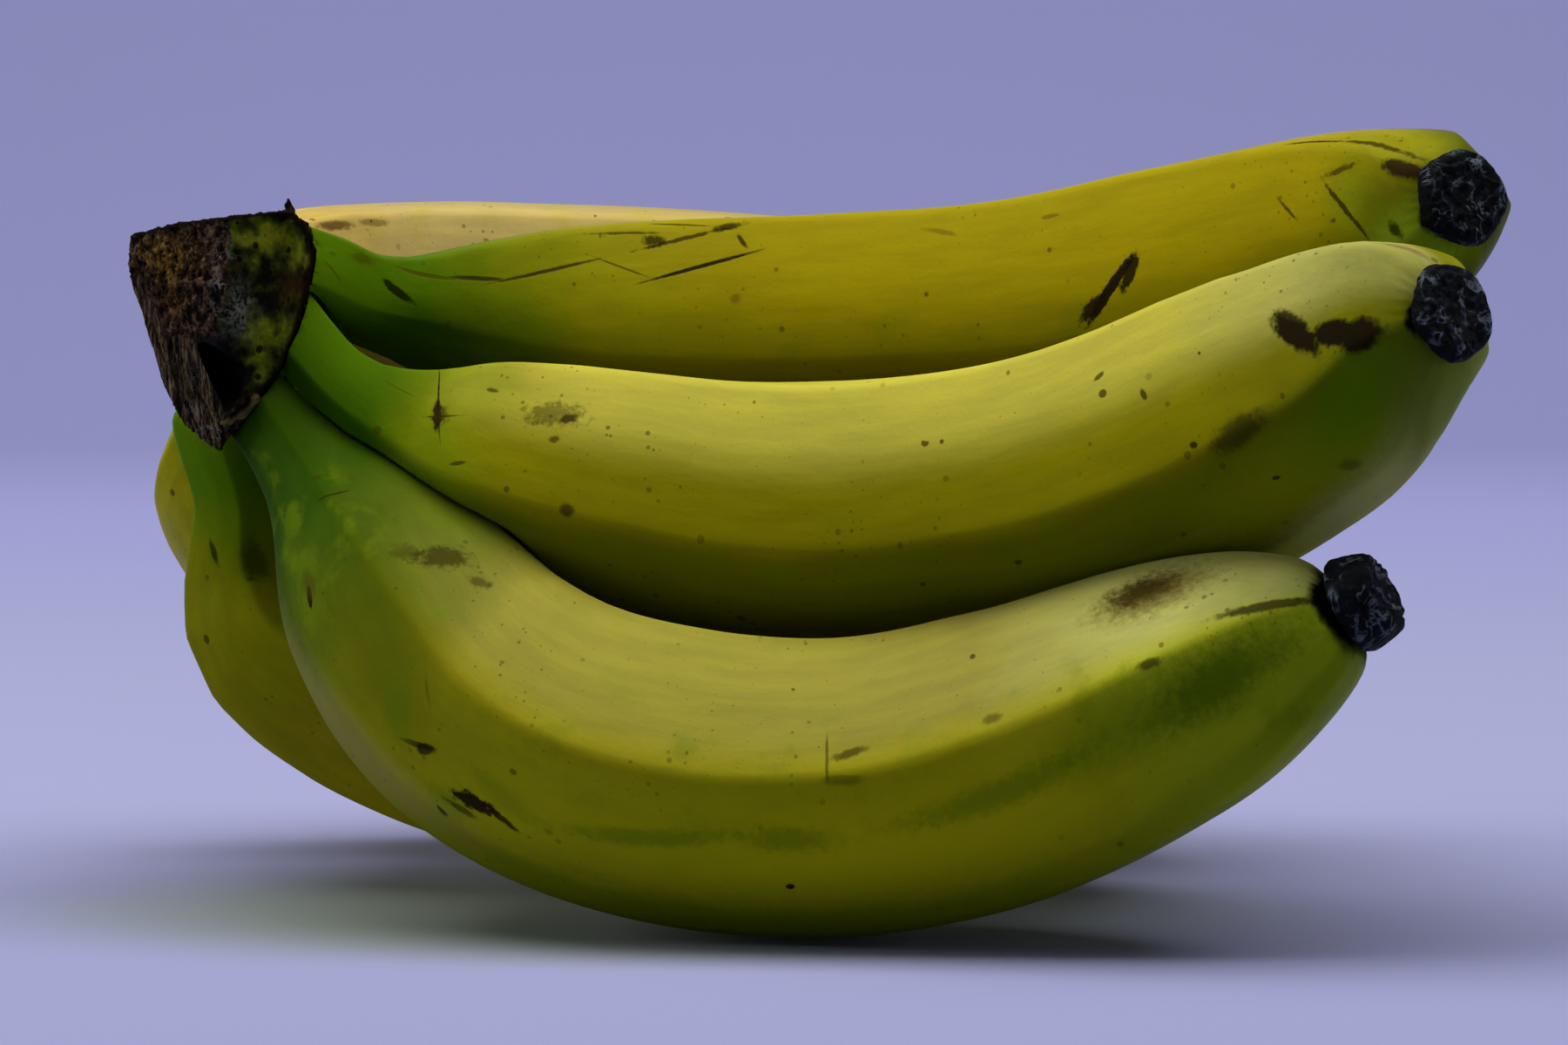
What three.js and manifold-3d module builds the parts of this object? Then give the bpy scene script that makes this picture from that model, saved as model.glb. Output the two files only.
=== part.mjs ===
// A hand of six bananas, cut from its stalk and lying on the outer curves of its fruits.
// Millimetres, +Z up. +X runs from the crown to the tips and -Y is the front of the hand.
// The origin is under the middle of the hand, on the surface that it lies on.

import * as THREE from 'three';
import { mergeVertices } from 'three/addons/utils/BufferGeometryUtils.js';
import { ConvexGeometry } from 'three/addons/geometries/ConvexGeometry.js';
import Module from 'manifold-3d';

const wasm = await Module();
wasm.setup();

// ---- Driving dimensions ----

const GAP = 0.35;            // clearance kept between pieces that grew against each other
const RIDGES = 5;            // long ridges on a peel
const SIDES = 25;            // flats round a fruit, a whole number of them on each of its five faces
const RING_STEP = 5;         // distance between two rings of corners along a fruit
const FACE_FLATNESS = 0.6;   // 0 is a round fruit, 1 a sharp five-sided one
const MEAN_SHARP = 0.866;    // mean radius of a sharp five-sided section whose corners are at 1
const CROWN_HALF_WIDTH = 10; // least distance from the middle of the crown to its faces
const STUB_SIDES = 15;
const STUB_RADII = [6, 5.9, 5]; // of a dried blossom end, at its root, middle and end

// Radius of a fruit near its two ends, as pairs of a distance and a radius. The neck is measured
// from the crown, the tip from the end of the peel, and both swell to the fruit's own full radius.
const NECK_SWELLING = [
  [0, 6.6], [14, 5.9], [21, 6.9], [28, 10.2], [34, 13], [40, 15], [48, 16.6], [60, 17.7], [84, 18.4],
];
const TIP_SWELLING = [[0, 6.4], [5, 9.2], [12, 12.4], [20, 14.8], [28, 16.2], [40, 17.4], [58, 18.4]];
const FULL_RADIUS = 18.4;

// Each fruit: its largest radius, how quickly its tip swells, how far its dried blossom end stands out
// past the end of the peel, the way its outward side faces, how far its first ridge is turned from
// the inside of its bend towards that side, in degrees at its neck, middle and tip, and the route of
// its middle line from inside the crown to the end of its blossom end.
const FRUITS = [
  {
    name: 'front_lower', radius: 18.1, bluntness: 1.2, stub: 6, side: [0, -1, 0], ridgeTurns: [16, 10, -16],
    route: [
      [-75, -1, 72], [-70, -6, 64], [-60.6, -12.5, 51.5], [-52.4, -17.5, 40.2], [-42, -22.5, 29.4],
      [-27, -27.5, 22.3], [1, -32, 18.6], [22.5, -35, 22.3], [42, -40, 30.6], [55.5, -44.5, 38],
      [68.5, -50, 45.6],
    ],
  },
  {
    name: 'front_middle', radius: 17.8, bluntness: 1.6, stub: 2.5, side: [0, -1, 0], ridgeTurns: [20, 30, 8],
    route: [
      [-73, 1, 78.5], [-67.5, -3.5, 72.5], [-61.5, -5.5, 66.5], [-51, -6, 60.5], [-40.5, -7.5, 57.2],
      [-10.5, -11.5, 52.2], [20, -18, 53.7], [39.3, -25, 58.8], [59, -34.5, 68.4], [70.2, -43.8, 76.2],
      [76.6, -52.6, 79.3],
    ],
  },
  {
    name: 'front_upper', radius: 17, bluntness: 1.2, stub: 2.8, side: [0, -1, 0], ridgeTurns: [28, 27, 26],
    route: [
      [-73, 0, 83.5], [-66, 2, 82.5], [-58.5, 6, 79.2], [-48, 10.5, 77], [-30, 15, 74.5],
      [1.5, 16, 74], [25.5, 12, 75.7], [50, 1, 81.2], [67, -9.5, 86.8], [76.5, -20.5, 90.6],
      [80.6, -31, 92.9],
    ],
  },
  {
    name: 'back_lower', radius: 17.2, bluntness: 1, stub: 4.5, side: [0, -1, 0], ridgeTurns: [16, 10, -16],
    route: [
      [-79, 3, 67], [-78, 6, 60], [-76.5, 9, 52], [-76, 12, 43.5], [-72, 13, 35.2], [-61, 13, 29],
      [-40, 12, 22], [-16, 10, 17.8], [8, 9, 18.1], [29, 7, 22.3], [47, 3, 30], [60, -2, 38],
    ],
  },
  {
    name: 'back_middle', radius: 17, bluntness: 1.1, stub: 4, side: [0, -0.5, -0.87],
    ridgeTurns: [20, 20, 20],
    route: [
      [-78, 7, 73], [-79.3, 15, 69], [-79.8, 27, 62], [-78.8, 37, 53], [-70.5, 44, 41], [-52, 46.5, 30],
      [-29, 47, 20.5], [-6, 46, 17], [18, 44, 19.5], [39, 37, 27], [53, 32, 35.5], [61, 28, 41],
    ],
  },
  {
    name: 'back_upper', radius: 17.2, bluntness: 1.1, stub: 4, side: [0, 0, -1], ridgeTurns: [18, 18, 18],
    route: [
      [-75, 5, 82], [-78, 14, 83], [-79, 24, 82.2], [-75, 34, 80.2], [-64, 44.5, 77.5], [-44, 51.5, 76],
      [-18, 54, 74.5], [7, 53.5, 73], [31, 48, 74], [53, 40.5, 78], [71, 29, 84],
    ],
  },
];

// Corners of the crown, a wedge with two cut faces that meet in a standing edge at its front.
const CROWN_CORNERS = [
  [-89, -6, 87.5], [-82.5, -11, 89], [-74.5, -16, 90], [-68.5, -12, 90.6], [-65.7, -7, 89], [-65.2, -5, 85.4],
  [-66.2, -7, 79.4], [-67.6, -9, 74.5], [-69.5, -11, 70], [-72, -12, 67], [-76.3, -13, 64],
  [-77, -11, 59.8], [-81.5, -8, 62], [-84.6, -7, 68.3], [-87.2, -6, 76.5], [-89.5, -5, 83],
  [-75.4, -16.5, 80], [-76.9, -15.5, 76.7],
  [-87, 9, 88], [-78, 14, 89.5], [-68, 8, 89], [-84, 13, 74], [-68, 6, 76], [-79, 5, 64],
];

// Corners of the hollow low on the crown's front. It slopes in from the right-hand cut face and goes
// in behind the fibrous edge of the left-hand one.
const HOLLOW_CORNERS = [
  [-80, -20, 74.5], [-77.6, -20, 75], [-75.2, -20, 73.8], [-76.7, -20, 66], [-72.4, -13.4, 70.1],
  [-73.5, -13, 67.3], [-75.3, -12.9, 64.8], [-79.4, -9, 73.3], [-76.9, -9.3, 68],
];

// A small dried point that stands on the crown's top edge.
const POINT_FOOT = [-67.8, -11, 89.2];
const POINT_RADIUS = 1.7;
const POINT_HEIGHT = 3.4;
const POINT_SIDES = 5;

// ---- Shapes ----

function material(color, roughness) {
  return new THREE.MeshStandardMaterial({ color, roughness, metalness: 0 });
}

// A solid from a closed geometry, so that it can be cut.
function solidFrom(geometry) {
  const bare = new THREE.BufferGeometry();
  bare.setAttribute('position', geometry.getAttribute('position').clone());
  if (geometry.index) bare.setIndex(geometry.index.clone());
  const merged = mergeVertices(bare, 1e-4);
  return new wasm.Manifold(new wasm.Mesh({
    numProp: 3,
    vertProperties: new Float32Array(merged.getAttribute('position').array),
    triVerts: new Uint32Array(merged.index.array),
  }));
}

function geometryFrom(solid) {
  const { numProp, vertProperties, triVerts } = solid.getMesh();
  const positions = new Float32Array((vertProperties.length / numProp) * 3);
  for (let i = 0; i < positions.length / 3; i += 1) {
    for (let axis = 0; axis < 3; axis += 1) positions[3 * i + axis] = vertProperties[numProp * i + axis];
  }
  const geometry = new THREE.BufferGeometry();
  geometry.setAttribute('position', new THREE.BufferAttribute(positions, 3));
  geometry.setIndex(new THREE.BufferAttribute(new Uint32Array(triVerts), 1));
  geometry.computeVertexNormals();
  return geometry;
}

// Share of the full radius at an angle from the nearest ridge: 1 on a ridge, less on the faces.
function ridgeShare(turn) {
  const face = (2 * Math.PI) / RIDGES;
  const fromRidge = Math.abs(turn / face - Math.round(turn / face)) * face;
  const sharp = Math.cos(face / 2) / Math.cos(face / 2 - fromRidge);
  return THREE.MathUtils.lerp(1, sharp, FACE_FLATNESS) / THREE.MathUtils.lerp(1, MEAN_SHARP, FACE_FLATNESS);
}

// Radius read off a list of pairs at a distance.
function swelling(pairs, distance) {
  const last = pairs.length - 1;
  if (distance >= pairs[last][0]) return pairs[last][1];
  const next = pairs.findIndex(([from]) => from > distance);
  const [from, low] = pairs[next - 1];
  const [to, high] = pairs[next];
  return THREE.MathUtils.mapLinear(distance, from, to, low, high);
}

function fruitRadius(fruit, distance, end) {
  const neck = swelling(NECK_SWELLING, distance);
  const tip = swelling(TIP_SWELLING, Math.max(end - distance, 0) * fruit.bluntness);
  const thin = Math.min(neck, tip);
  const full = (fruit.radius - FULL_RADIUS) * THREE.MathUtils.smoothstep(thin, 6, FULL_RADIUS);
  return (neck * tip) / FULL_RADIUS + full;
}

// A turned shape whose axis is laid along a curve: height on the axis becomes distance on the curve.
function bendAlong(geometry, curve, fruit) {
  const [neckTurn, middleTurn, tipTurn] = fruit.ridgeTurns;
  const length = curve.getLength();
  const position = geometry.getAttribute('position');
  const side = new THREE.Vector3(...fruit.side);
  for (let i = 0; i < position.count; i += 1) {
    const distance = position.getY(i);
    const u = THREE.MathUtils.clamp(distance / length, 0, 1);
    const along = curve.getTangentAt(u);
    const centre = curve.getPointAt(u).addScaledVector(along, distance - u * length);
    const inner = new THREE.Vector3().crossVectors(side, along).normalize();
    const outward = new THREE.Vector3().crossVectors(along, inner);
    const radius = Math.hypot(position.getX(i), position.getZ(i));
    const turn = Math.atan2(position.getX(i), position.getZ(i));
    const shaped = radius * ridgeShare(turn);
    const ridgeTurn = u < 0.5
      ? THREE.MathUtils.lerp(neckTurn, middleTurn, 2 * u)
      : THREE.MathUtils.lerp(middleTurn, tipTurn, 2 * u - 1);
    const angle = turn + THREE.MathUtils.degToRad(ridgeTurn);
    centre.addScaledVector(inner, shaped * Math.cos(angle));
    centre.addScaledVector(outward, shaped * Math.sin(angle));
    position.setXYZ(i, centre.x, centre.y, centre.z);
  }
  return geometry;
}

function fruitCurve(fruit) {
  const points = fruit.route.map(([x, y, z]) => new THREE.Vector3(x, y, z));
  return new THREE.CatmullRomCurve3(points, false, 'centripetal');
}

function peelSolid(fruit, extra) {
  const curve = fruitCurve(fruit);
  const end = curve.getLength() - fruit.stub;
  const rings = Math.round(end / RING_STEP);
  const profile = [new THREE.Vector2(0, -extra)];
  for (let ring = 0; ring <= rings; ring += 1) {
    const distance = (end * ring) / rings;
    const height = THREE.MathUtils.lerp(-extra, end + extra, ring / rings);
    profile.push(new THREE.Vector2(fruitRadius(fruit, distance, end) + extra, height));
  }
  profile.push(new THREE.Vector2(0, end + extra));
  return solidFrom(bendAlong(new THREE.LatheGeometry(profile, SIDES), curve, fruit));
}

function stubSolid(fruit) {
  const curve = fruitCurve(fruit);
  const start = curve.getLength() - fruit.stub + GAP;
  const end = curve.getLength();
  const heights = [start, (start + end) / 2, end];
  const wall = STUB_RADII.map((radius, level) => new THREE.Vector2(radius, heights[level]));
  const profile = [new THREE.Vector2(0, start), ...wall, new THREE.Vector2(0, end)];
  return solidFrom(bendAlong(new THREE.LatheGeometry(profile, STUB_SIDES), curve, fruit));
}

// The crown, or the slightly larger space that its neighbours leave to it.
function crownSolid(clearance) {
  const corners = CROWN_CORNERS.map(([x, y, z]) => new THREE.Vector3(x, y, z));
  const middle = new THREE.Vector3();
  corners.forEach((corner) => middle.addScaledVector(corner, 1 / corners.length));
  const scale = 1 + clearance / CROWN_HALF_WIDTH;
  corners.forEach((corner) => corner.sub(middle).multiplyScalar(scale).add(middle));
  return solidFrom(new ConvexGeometry(corners));
}

function hollowSolid() {
  return solidFrom(new ConvexGeometry(HOLLOW_CORNERS.map(([x, y, z]) => new THREE.Vector3(x, y, z))));
}

function pointSolid() {
  const point = new THREE.ConeGeometry(POINT_RADIUS, POINT_HEIGHT, POINT_SIDES);
  point.rotateX(Math.PI / 2);
  point.translate(POINT_FOOT[0], POINT_FOOT[1], POINT_FOOT[2] + POINT_HEIGHT / 2);
  return solidFrom(point);
}

// ---- The hand ----

const hand = new THREE.Group();

function addPiece(name, solid, finish) {
  const mesh = new THREE.Mesh(geometryFrom(solid), finish);
  mesh.name = name;
  hand.add(mesh);
}

addPiece('crown', crownSolid(0).subtract(hollowSolid()).add(pointSolid()), material(0x2e241a, 0.9));

// Fruits that grew against each other press flat: each gives way to the crown and to those before it.
let taken = crownSolid(GAP);
for (const fruit of FRUITS) {
  addPiece(`banana_${fruit.name}`, peelSolid(fruit, 0).subtract(taken), material(0xa8a32c, 0.5));
  addPiece(`blossom_end_${fruit.name}`, stubSolid(fruit), material(0x1c1c1e, 0.85));
  taken = taken.add(peelSolid(fruit, GAP));
}

// The hand lies on its lowest point, with the origin under the middle of its box.
const box = new THREE.Box3().setFromObject(hand, true);
hand.position.set(-(box.min.x + box.max.x) / 2, -(box.min.y + box.max.y) / 2, -box.min.z);

export default hand;
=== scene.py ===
import math

import bpy
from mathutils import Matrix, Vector, noise


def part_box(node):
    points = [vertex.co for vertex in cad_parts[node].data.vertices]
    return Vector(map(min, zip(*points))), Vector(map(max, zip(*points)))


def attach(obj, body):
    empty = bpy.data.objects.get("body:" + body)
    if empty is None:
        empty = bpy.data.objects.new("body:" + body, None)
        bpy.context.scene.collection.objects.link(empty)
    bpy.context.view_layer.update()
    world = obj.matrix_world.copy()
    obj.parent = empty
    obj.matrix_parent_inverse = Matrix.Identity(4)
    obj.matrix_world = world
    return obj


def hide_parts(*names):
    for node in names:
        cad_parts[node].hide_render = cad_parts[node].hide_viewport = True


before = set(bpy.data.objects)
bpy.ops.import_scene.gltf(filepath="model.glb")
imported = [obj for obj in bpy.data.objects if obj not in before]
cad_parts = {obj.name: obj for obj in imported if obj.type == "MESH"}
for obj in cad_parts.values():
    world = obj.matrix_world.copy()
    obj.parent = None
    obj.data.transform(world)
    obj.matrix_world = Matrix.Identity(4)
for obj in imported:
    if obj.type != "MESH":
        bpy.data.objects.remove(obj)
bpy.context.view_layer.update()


# ---- View ----
# The hand lies across the view, crown to the left and tips to the right, seen almost level.
aim = Vector((-0.0021, -0.0080, 0.0496))
rise = math.radians(4)
stand_off = 0.6
bpy.ops.object.camera_add(rotation=(math.pi / 2 - rise, 0, 0))
camera = bpy.context.object
camera.location = aim + Vector((0, -math.cos(rise), math.sin(rise))) * stand_off
camera.data.lens = 105
bpy.context.scene.camera = camera


# ---- Peels of the three front fruits ----
# Each fruit is one waxy peel with five long ridges, thin at its neck, full in the middle and drawn
# in at its tip. It is turned up straight, ring by ring, then laid along the bend that it grew to
# and pressed flat where it grew against the crown and its neighbours.
peel_sides = 30
ring_step = 0.0045
ridges = 5
face_flatness = 0.6
ridge_rounding = 0.06
mean_sharp = 0.866
full_radius = 0.0184
thin_radius = 0.006
skin_inset = 0.00018
smoothing_loss = 0.9927
tip_tuck = 0.97
press_gap = 0.00005
steps_between_stops = 40
# Distance from each end and radius there, in millimetres. The other sizes are in metres.
neck_swelling = [
    (0, 6.6), (14, 5.9), (21, 6.9), (28, 10.2), (34, 13), (40, 15), (48, 16.6), (60, 17.7),
    (84, 18.4),
]
tip_swelling = [(0, 6.4), (5, 9.2), (12, 12.4), (20, 14.8), (28, 16.2), (40, 17.4), (58, 18.4)]
crown_box_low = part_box("crown")[0]
hand_shift = Vector((
    crown_box_low[0] + 0.0895, crown_box_low[1] + 0.0165, crown_box_low[2] - 0.0598,
))


def swelling(pairs, distance):
    for (near, low), (far, high) in zip(pairs, pairs[1:]):
        if distance < far / 1000:
            return (low + (high - low) * (distance * 1000 - near) / (far - near)) / 1000
    return pairs[-1][1] / 1000


def peel_radius(fruit, distance, end):
    neck = swelling(neck_swelling, distance)
    tip = swelling(tip_swelling, max(end - distance, 0) * fruit["bluntness"])
    thin = min(max((min(neck, tip) - thin_radius) / (full_radius - thin_radius), 0), 1)
    full = (fruit["radius"] / 1000 - full_radius) * thin * thin * (3 - 2 * thin)
    return neck * tip / full_radius + full


def smooth_route(route):
    """Close points along a smooth line through the route, each with its distance from the start."""
    stops = [Vector(stop) / 1000 + hand_shift for stop in route]
    stops = [stops[0] * 2 - stops[1]] + stops + [stops[-1] * 2 - stops[-2]]
    line = []
    for a, b, c, d in zip(stops, stops[1:], stops[2:], stops[3:]):
        first, middle, last = (math.sqrt((q - p).length) for p, q in ((a, b), (b, c), (c, d)))
        leave = ((b - a) / first - (c - a) / (first + middle) + (c - b) / middle) * middle
        arrive = ((c - b) / middle - (d - b) / (middle + last) + (d - c) / last) * middle
        for step in range(steps_between_stops):
            t = step / steps_between_stops
            line.append(
                b + leave * t + (3 * (c - b) - 2 * leave - arrive) * t * t
                + (2 * (b - c) + leave + arrive) * t * t * t
            )
    line.append(stops[-2])
    reached = [0.0]
    for here, there in zip(line, line[1:]):
        reached.append(reached[-1] + (there - here).length)
    return line, reached


def place_on(line, reached, distance):
    """Point and direction on the line at a distance, carried straight on past its end."""
    low, high = 0, len(line) - 2
    while low < high:
        halfway = (low + high + 1) // 2
        if reached[halfway] <= distance:
            low = halfway
        else:
            high = halfway - 1
    i = low
    before, after = max(i - 1, 0), min(i + 2, len(line) - 1)
    part = (distance - reached[i]) / (reached[i + 1] - reached[i])
    here = (line[i + 1] - line[before]).normalized()
    there = (line[after] - line[i]).normalized()
    return line[i].lerp(line[i + 1], part), here.lerp(there, min(max(part, 0), 1)).normalized()


def ridge_share(turn):
    """Share of the radius that a peel keeps at an angle: 1 on a ridge, less on the faces between."""
    face = 2 * math.pi / ridges
    off = abs(turn / face - round(turn / face)) * face
    off = math.sqrt(off * off + ridge_rounding ** 2) - ridge_rounding * math.exp(-off / 0.3)
    sharp = math.cos(face / 2) / math.cos(face / 2 - off)
    mean = 1 + (mean_sharp - 1) * face_flatness
    return (1 + (sharp - 1) * face_flatness) / mean


def raise_rings(name, sides, rings):
    """A closed turned shape on +Z from pairs of height and radius, extruded one ring at a time."""
    bpy.ops.object.select_all(action="DESELECT")
    height, radius = rings[0]
    bpy.ops.mesh.primitive_circle_add(
        vertices=sides, radius=radius, fill_type="NGON", location=(0, 0, height)
    )
    turned = bpy.context.object
    turned.name = turned.data.name = name
    bpy.ops.object.transform_apply(location=True, rotation=True, scale=True)
    bpy.ops.object.mode_set(mode="EDIT")
    for next_height, next_radius in rings[1:]:
        bpy.ops.mesh.extrude_region_move(
            TRANSFORM_OT_translate={"value": (0, 0, next_height - height)}
        )
        grow = next_radius / radius
        bpy.ops.transform.resize(value=(grow, grow, 1), center_override=(0, 0, next_height))
        height, radius = next_height, next_radius
    bpy.ops.mesh.select_all(action="SELECT")
    bpy.ops.mesh.normals_make_consistent(inside=False)
    bpy.ops.object.mode_set(mode="OBJECT")
    return turned


def smooth_over(piece, levels):
    """Subdivides a piece smoothly and keeps the result as its mesh."""
    bpy.ops.object.select_all(action="DESELECT")
    piece.select_set(True)
    bpy.context.view_layer.objects.active = piece
    rounding = piece.modifiers.new("rounding", "SUBSURF")
    rounding.levels = rounding.render_levels = levels
    bpy.ops.object.modifier_apply(modifier=rounding.name)
    bpy.ops.object.shade_smooth()


def lay_along(piece, fruit, ridge_shape):
    """Bends a straight piece along its fruit's route. Its straight shape is kept as an attribute,
    which the colours and marks follow.
    """
    line, reached = smooth_route(fruit["route"])
    side = Vector(fruit["side"])
    neck_turn, middle_turn, tip_turn = fruit["ridge_turns"]
    straight = piece.data.attributes.new("straight", "FLOAT_VECTOR", "POINT")
    for vertex in piece.data.vertices:
        x, y, distance = vertex.co
        straight.data[vertex.index].vector = vertex.co
        spot, along = place_on(line, reached, distance)
        inner = side.cross(along).normalized()
        outward = along.cross(inner)
        turn = math.atan2(y, x)
        share = min(max(distance / reached[-1], 0), 1)
        if share < 0.5:
            lean = neck_turn + (middle_turn - neck_turn) * 2 * share
        else:
            lean = middle_turn + (tip_turn - middle_turn) * (2 * share - 1)
        radius = math.hypot(x, y) * (ridge_share(turn) if ridge_shape else 1)
        angle = turn + math.radians(lean)
        vertex.co = (
            spot + inner * (radius * math.cos(angle)) + outward * (radius * math.sin(angle))
        )


def grow_peel(fruit):
    """One finished peel, on the place of its solid."""
    name = fruit["name"]
    line, reached = smooth_route(fruit["route"])
    end = reached[-1] - fruit["stub"] / 1000
    fruit["length"] = end
    count = round(end / ring_step)
    rings = []
    for ring in range(count + 1):
        distance = end * ring / count
        rings.append((distance, peel_radius(fruit, distance, end) / smoothing_loss - skin_inset))
    rings[-1] = (end, rings[-1][1] * tip_tuck)
    peel = raise_rings("peel_" + name, peel_sides, rings)
    smooth_over(peel, 2)
    lay_along(peel, fruit, True)
    press = peel.modifiers.new("pressed against its neighbours", "SHRINKWRAP")
    press.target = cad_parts["banana_" + name]
    press.wrap_method = "NEAREST_SURFACEPOINT"
    press.wrap_mode = "INSIDE"
    press.offset = press_gap
    bpy.ops.object.modifier_apply(modifier=press.name)
    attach(peel, "root")
    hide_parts("banana_" + name)
    return peel


front_fruits = [
    {
        "name": "front_lower", "radius": 18.1, "bluntness": 1.2, "stub": 6,
        "side": (0, -1, 0), "ridge_turns": (16, 10, -16),
        "route": [
            (-75, -1, 72), (-70, -6, 64), (-60.6, -12.5, 51.5), (-52.4, -17.5, 40.2),
            (-42, -22.5, 29.4), (-27, -27.5, 22.3), (1, -32, 18.6), (22.5, -35, 22.3),
            (42, -40, 30.6), (55.5, -44.5, 38), (68.5, -50, 45.6),
        ],
    },
    {
        "name": "front_middle", "radius": 17.8, "bluntness": 1.6, "stub": 2.5,
        "side": (0, -1, 0), "ridge_turns": (20, 30, 8),
        "route": [
            (-73, 1, 78.5), (-67.5, -3.5, 72.5), (-61.5, -5.5, 66.5), (-51, -6, 60.5),
            (-40.5, -7.5, 57.2), (-10.5, -11.5, 52.2), (20, -18, 53.7), (39.3, -25, 58.8),
            (59, -34.5, 68.4), (70.2, -43.8, 76.2), (76.6, -52.6, 79.3),
        ],
    },
    {
        "name": "front_upper", "radius": 17, "bluntness": 1.2, "stub": 2.8,
        "side": (0, -1, 0), "ridge_turns": (28, 27, 26),
        "route": [
            (-73, 0, 83.5), (-66, 2, 82.5), (-58.5, 6, 79.2), (-48, 10.5, 77), (-30, 15, 74.5),
            (1.5, 16, 74), (25.5, 12, 75.7), (50, 1, 81.2), (67, -9.5, 86.8), (76.5, -20.5, 90.6),
            (80.6, -31, 92.9),
        ],
    },
]


def new_material(name):
    material = bpy.data.materials.new(name)
    material.use_nodes = True
    tree = material.node_tree
    return material, tree, tree.nodes["Principled BSDF"]


def add_node(tree, kind, settings=None, inputs=None):
    """Adds a node, with its settings, and its inputs either set or linked."""
    node = tree.nodes.new(kind)
    for key, value in (settings or {}).items():
        setattr(node, key, value)
    for key, value in (inputs or {}).items():
        if isinstance(value, bpy.types.NodeSocket):
            tree.links.new(value, node.inputs[key])
        else:
            node.inputs[key].default_value = value
    return node


def maths(tree, operation, *values, clamp=False):
    return add_node(
        tree, "ShaderNodeMath", {"operation": operation, "use_clamp": clamp}, dict(enumerate(values))
    ).outputs[0]


def mix_colour(tree, share, under, over, blend="MIX"):
    node = add_node(
        tree, "ShaderNodeMix", {"data_type": "RGBA", "blend_type": blend},
        {"Factor": share, "A": under, "B": over},
    )
    return node.outputs["Result"]


def between(tree, value, low, high, out_low=0.0, out_high=1.0):
    """Maps a value smoothly from one range to another."""
    return add_node(
        tree, "ShaderNodeMapRange", {"interpolation_type": "SMOOTHSTEP"},
        {"Value": value, "From Min": low, "From Max": high, "To Min": out_low, "To Max": out_high},
    ).outputs["Result"]


def swing(tree, value, reach):
    """Turns a value from 0 to 1 into a drift either way, over the given reach."""
    return maths(tree, "MULTIPLY", maths(tree, "SUBTRACT", value, 0.5), reach)


def cloud(tree, vector, scale, detail=3.0, roughness=0.55):
    return add_node(
        tree, "ShaderNodeTexNoise", {},
        {"Vector": vector, "Scale": scale, "Detail": detail, "Roughness": roughness},
    ).outputs["Fac"]


def cells(tree, vector, scale):
    """Distance to the nearest of many scattered points, and three random shares for each."""
    spots = add_node(
        tree, "ShaderNodeTexVoronoi", {"feature": "F1"}, {"Vector": vector, "Scale": scale}
    ).outputs
    draws = add_node(tree, "ShaderNodeSeparateColor", {}, {0: spots["Color"]}).outputs
    return spots["Distance"], draws


def stretched(tree, vector, scale):
    return add_node(
        tree, "ShaderNodeMapping", {}, {"Vector": vector, "Scale": scale}
    ).outputs["Vector"]


def colour_steps(tree, value, steps):
    """Colour along a value, from pairs of place and colour in rising order."""
    ramp = add_node(tree, "ShaderNodeValToRGB", {}, {0: value})
    for place, _ in steps[1:-1]:
        ramp.color_ramp.elements.new(place)
    for element, (place, colour) in zip(ramp.color_ramp.elements, steps):
        element.position = place
        element.color = (*colour, 1)
    return ramp.outputs["Color"]


def add_relief(tree, skin, height, strength, depth):
    bump = add_node(
        tree, "ShaderNodeBump", {}, {"Strength": strength, "Distance": depth, "Height": height}
    ).outputs["Normal"]
    tree.links.new(bump, skin.inputs["Normal"])


def dress(piece, material):
    piece.data.materials.clear()
    piece.data.materials.append(material)


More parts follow.
